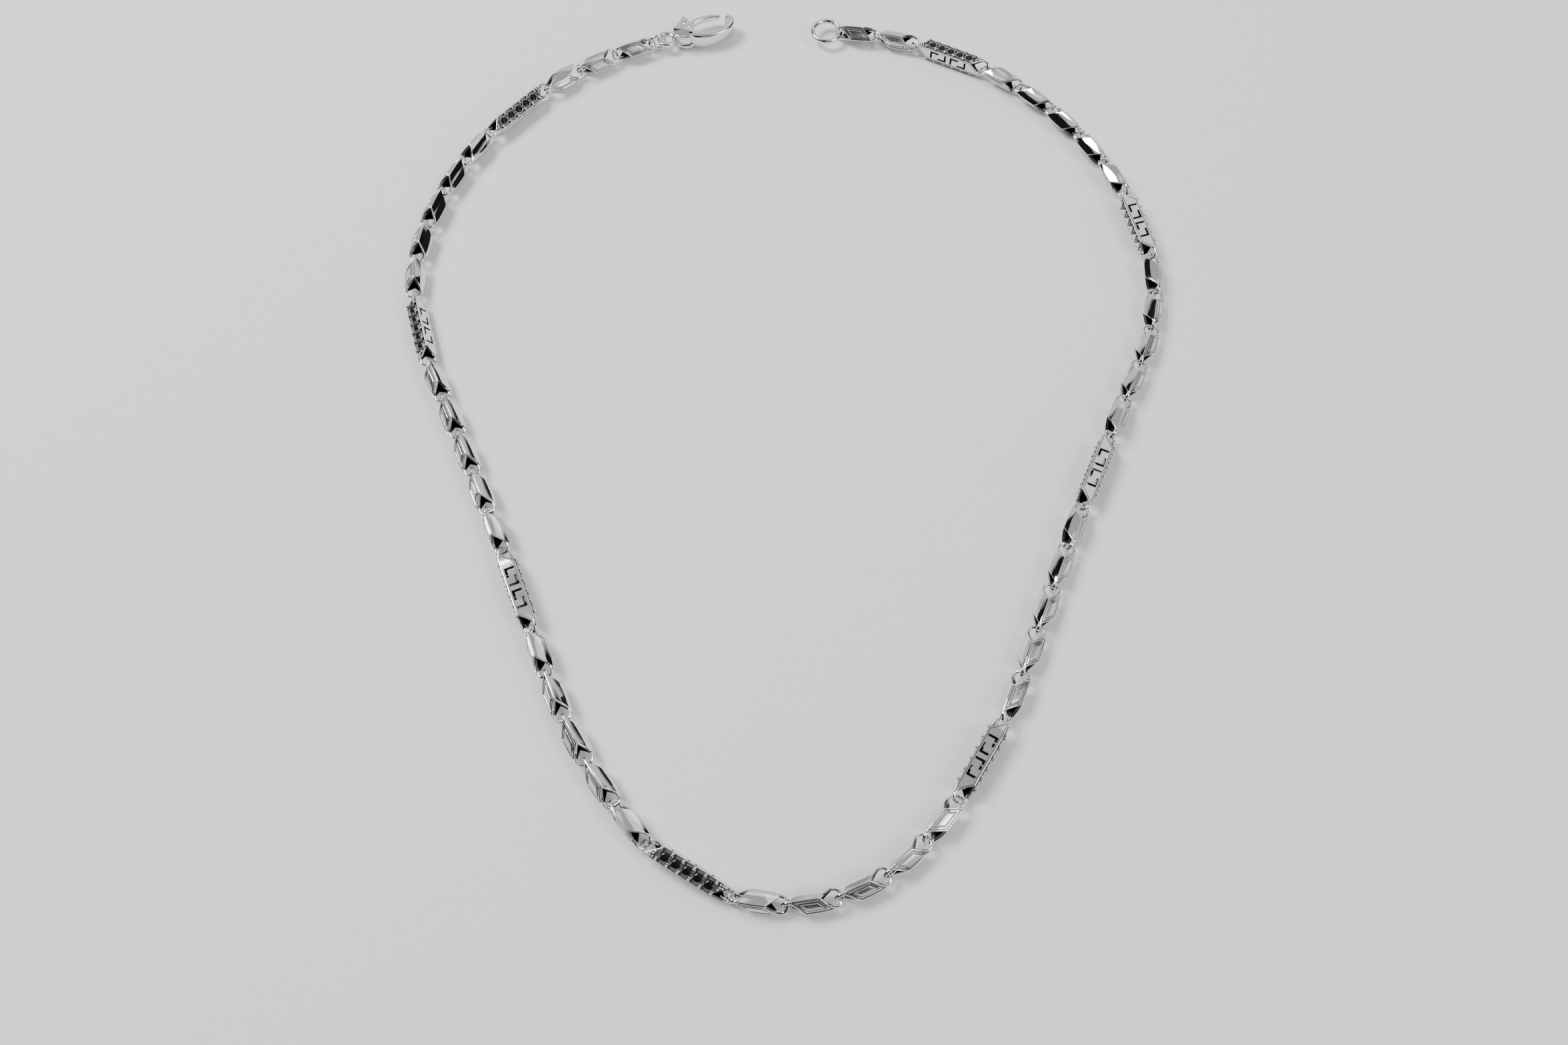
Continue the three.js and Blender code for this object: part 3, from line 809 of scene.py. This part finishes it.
# ---------------------------------------------------------------------------------------------
# The two rings at the chain's ends. Each is bent from round wire with a butt joint that
# still shows as a hairline; the jump ring stands on edge, the catch ring lies flat.
jump_mean, jump_wire = 3.0 * mm, 0.7 * mm
catch_mean, catch_wire = 5.4 * mm, 0.9 * mm
ring_split = 0.012


def node_middle(name):
    low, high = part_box(name)
    return (Vector(low) + Vector(high)) / 2


def bent_ring(name, mean, wire, across, up, split_at):
    """A split ring round a node's middle, in the plane of across and the direction beyond."""
    work = bmesh.new()
    beyond = up.cross(across).normalized()
    section = [(wire / 2 * math.cos(a * math.tau / 16), wire / 2 * math.sin(a * math.tau / 16))
               for a in range(16)]
    path = []
    for k in range(65):
        angle = split_at + ring_split + (math.tau - 2 * ring_split) * k / 64
        path.append(node_middle(name) + (across * math.cos(angle) + beyond * math.sin(angle))
                    * mean / 2)
    swept(work, path, section, up=up)
    ring = bpy.data.objects.new("bent_" + name, finished_mesh(work, "bent_" + name, 50))
    bpy.context.collection.objects.link(ring)
    ring.data.materials.append(ring_plating)
    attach(ring, name + "_body")
    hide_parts(name)


ring_plating = plated_metal("polished_ring_plating", metal_colour, 0.02 * mm)
upward = Vector((0, 0, 1))
jump_out = (node_middle("clasp_body") - node_middle("jump_ring")) * Vector((1, 1, 0))
jump_out.normalize()
bent_ring("jump_ring", jump_mean, jump_wire, jump_out, upward.cross(jump_out), 1.9)
bent_ring("catch_ring", catch_mean, catch_wire, Vector((1, 0, 0)), upward, 2.2)

# ---------------------------------------------------------------------------------------------
# The lobster clasp: a cast hook whose tail is slotted for a sprung lever, an eye for the
# jump ring, a lever with a thumb knob, the rivet it turns on, and a coil spring inside.
clasp_thick = 3.0 * mm
clasp_long = 5.2 * mm
clasp_tall = 3.3 * mm
clasp_band = 1.4 * mm
lever_thick = 1.2 * mm
lever_band = 0.95 * mm
cheek_thick = 0.75 * mm
pivot = Vector((-4.1 * mm, 1.75 * mm, 0))
eye_middle = Vector((-8.7 * mm, 0, 0))
eye_mean, eye_band, eye_thick = 1.475 * mm, 0.85 * mm, 1.0 * mm
pin_radius = 0.45 * mm
hub_mean, hub_band = 0.87 * mm, 0.5 * mm
lever_reach = 7.2 * mm
spring_turns, spring_radius, spring_wire = 3, 0.36 * mm, 0.1 * mm
spring_length = 0.9 * mm
spring_start = Vector((-5.32 * mm, 1.2 * mm, 0))
spring_colour = (0.35, 0.35, 0.36, 1)
spring_draw, spring_smooth, spring_rough = 2500, 0.25, 0.45
clasp_turn = Matrix((jump_out, upward.cross(jump_out), upward)).transposed().to_4x4()
clasp_middle = hinge_at["clasp_lever_hinge"] - clasp_turn.to_3x3() @ pivot
clasp_frame = Matrix.Translation(clasp_middle) @ clasp_turn
clasp_plating = plated_metal("polished_clasp_plating", metal_colour, 0.02 * mm)


def clasp_piece(work, name, node, body, paint, sharp=50):
    mesh = finished_mesh(work, name, sharp)
    mesh.transform(clasp_frame)
    piece = bpy.data.objects.new(name, mesh)
    bpy.context.collection.objects.link(piece)
    mesh.materials.append(paint)
    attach(piece, body)
    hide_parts(node)


def oval_path(start, end, inset, steps):
    """Points along the hook's oval, inset from its outside, between two angles in degrees."""
    path = []
    for k in range(steps + 1):
        angle = math.radians(start + (end - start) * k / steps)
        path.append(Vector(((clasp_long - inset) * math.cos(angle),
                            (clasp_tall - inset) * math.sin(angle), 0)))
    return path


def rounded_slab(work, outline, low, high, edge):
    """A flat piece with a plan outline and softened edges."""
    count = len(outline)
    middle = sum(outline, Vector((0, 0))) / count
    rings = []
    for height, inset in ((low, edge), (low + edge * 0.3, edge * 0.3), (low + edge, 0),
                          (high - edge, 0), (high - edge * 0.3, edge * 0.3), (high, edge)):
        ring = []
        for spot in outline:
            pulled = spot - (spot - middle).normalized() * inset
            ring.append(work.verts.new((pulled.x, pulled.y, height)))
        rings.append(ring)
    for lower, upper in zip(rings, rings[1:]):
        for k in range(count):
            n = (k + 1) % count
            work.faces.new([lower[k], lower[n], upper[n], upper[k]])
    work.faces.new(rings[0][::-1])
    work.faces.new(rings[-1])


def tail_outline():
    """The plan of the tail: a rounded block that narrows toward the eye."""
    block = [(-3.7, -2.0), (-3.5, 2.2), (-3.6, 2.85), (-4.1, 3.15), (-4.75, 3.0), (-5.5, 2.2),
             (-6.3, 1.6), (-6.95, 1.15), (-7.15, 0.6), (-7.15, -0.6), (-6.95, -1.15),
             (-6.2, -1.75), (-5.2, -2.2), (-4.3, -2.3)]
    return [Vector((x * mm, y * mm)) for x, y in block]


def clasp_body_work():
    work = bmesh.new()
    hook = oval_path(200, 386, clasp_band / 2, 44)
    last = len(hook) - 1
    taper = [(1 - 0.25 * max(0, (k / last - 0.8) / 0.2) ** 2,
              1 - 0.28 * max(0, (k / last - 0.75) / 0.25) ** 2) for k in range(last + 1)]
    swept(work, hook, rounded_section(clasp_band, clasp_thick, 0.45 * mm, 4), scale=taper)
    for side in (-1, 1):
        inner, outer = side * (clasp_thick / 2 - cheek_thick), side * clasp_thick / 2
        rounded_slab(work, tail_outline(), min(inner, outer), max(inner, outer), 0.16 * mm)
    floor = [Vector((x * mm, y * mm)) for x, y in
             ((-3.9, -1.9), (-3.8, -0.3), (-5.0, -0.1), (-6.35, 0.0), (-6.45, 1.2), (-6.95, 0.9),
              (-6.95, -0.95), (-6.2, -1.6), (-5.0, -2.0))]
    rounded_slab(work, floor, -clasp_thick / 2 + 0.3 * mm, clasp_thick / 2 - 0.3 * mm, 0.05 * mm)
    ring = [eye_middle + Vector((eye_mean * math.cos(k * math.tau / 40),
                                 eye_mean * math.sin(k * math.tau / 40), 0)) for k in range(40)]
    swept(work, ring, rounded_section(eye_band, eye_thick, 0.32 * mm), closed=True)
    return work


def lever_work():
    work = bmesh.new()
    arm = oval_path(150, 36, 0.05 * mm + lever_band / 2, 30)
    arm = [point for point in arm if (point - pivot).length < lever_reach]
    last = len(arm) - 1
    taper = [(1 - 0.2 * (k / last) ** 3, 1 - 0.15 * (k / last) ** 3) for k in range(last + 1)]
    swept(work, arm, rounded_section(lever_band, lever_thick, 0.3 * mm, 4), scale=taper)
    hub = [pivot + Vector((hub_mean * math.cos(k * math.tau / 32),
                           hub_mean * math.sin(k * math.tau / 32), 0)) for k in range(32)]
    swept(work, hub, rounded_section(hub_band, lever_thick, 0.1 * mm), closed=True)
    thumb = [pivot + Vector((0.15 * mm, 0.7 * mm, 0)), pivot + Vector((0.22 * mm, 1.6 * mm, 0)),
             pivot + Vector((0.1 * mm, 2.3 * mm, 0)), pivot + Vector((-0.1 * mm, 2.62 * mm, 0))]
    swept(work, thumb, rounded_section(1.0 * mm, lever_thick, 0.32 * mm, 4),
          scale=[(1, 1), (0.8, 1), (0.95, 1), (0.5, 0.7)])
    return work


def pin_work():
    """The rivet: a straight shank with a low domed head set at each side."""
    work = bmesh.new()
    sides = 20
    half = clasp_thick / 2
    profile = [(0.12, half + 0.1 * mm), (0.6, half + 0.08 * mm), (1.15, half + 0.03 * mm),
               (1.3, half - 0.01 * mm), (1.0, half - 0.05 * mm), (1.0, -half + 0.05 * mm),
               (1.3, -half + 0.01 * mm), (1.15, -half - 0.03 * mm), (0.6, -half - 0.08 * mm),
               (0.12, -half - 0.1 * mm)]
    rings = [[work.verts.new((pivot.x + pin_radius * r * math.cos(k * math.tau / sides),
                              pivot.y + pin_radius * r * math.sin(k * math.tau / sides), z))
              for k in range(sides)] for r, z in profile]
    for upper, lower in zip(rings, rings[1:]):
        for k in range(sides):
            n = (k + 1) % sides
            work.faces.new([upper[k], lower[k], lower[n], upper[n]])
    work.faces.new(rings[0])
    work.faces.new(rings[-1][::-1])
    return work


def spring_work():
    work = bmesh.new()
    steps = 60
    rings = []
    for k in range(steps + 1):
        angle = spring_turns * math.tau * k / steps
        out = Vector((0, math.cos(angle), math.sin(angle)))
        middle = (spring_start + out * spring_radius
                  + Vector((-spring_length * k / steps, 0, 0)))
        rings.append([work.verts.new(middle + out * spring_wire * math.cos(s * math.tau / 8)
                                     + Vector((1, 0, 0)) * spring_wire * math.sin(s * math.tau / 8))
                      for s in range(8)])
    for one, two in zip(rings, rings[1:]):
        for s in range(8):
            t = (s + 1) % 8
            work.faces.new([one[s], one[t], two[t], two[s]])
    work.faces.new(rings[0][::-1])
    work.faces.new(rings[-1])
    return work


def spring_steel_paint():
    paint = bpy.data.materials.new("drawn_spring_wire")
    paint.use_nodes = True
    nodes, links = paint.node_tree.nodes, paint.node_tree.links
    shader = nodes["Principled BSDF"]
    shader.inputs["Base Color"].default_value = spring_colour
    shader.inputs["Metallic"].default_value = 1.0
    place = nodes.new("ShaderNodeTexCoord")
    draw = nodes.new("ShaderNodeTexNoise")
    draw.inputs["Scale"].default_value = spring_draw
    links.new(place.outputs["Object"], draw.inputs["Vector"])
    spread = nodes.new("ShaderNodeMapRange")
    spread.inputs["To Min"].default_value = spring_smooth
    spread.inputs["To Max"].default_value = spring_rough
    links.new(draw.outputs["Fac"], spread.inputs["Value"])
    links.new(spread.outputs["Result"], shader.inputs["Roughness"])
    return paint


group_body = "clasp_body_group"
clasp_piece(clasp_body_work(), "cast_clasp_body", "clasp_body", group_body,
            clasp_plating)
clasp_piece(pin_work(), "lever_rivet", "clasp_pin", group_body, clasp_plating)
clasp_piece(spring_work(), "lever_coil", "clasp_spring", group_body,
            spring_steel_paint())
clasp_piece(lever_work(), "clasp_thumb_lever", "clasp_lever", "clasp_lever_body",
            clasp_plating)
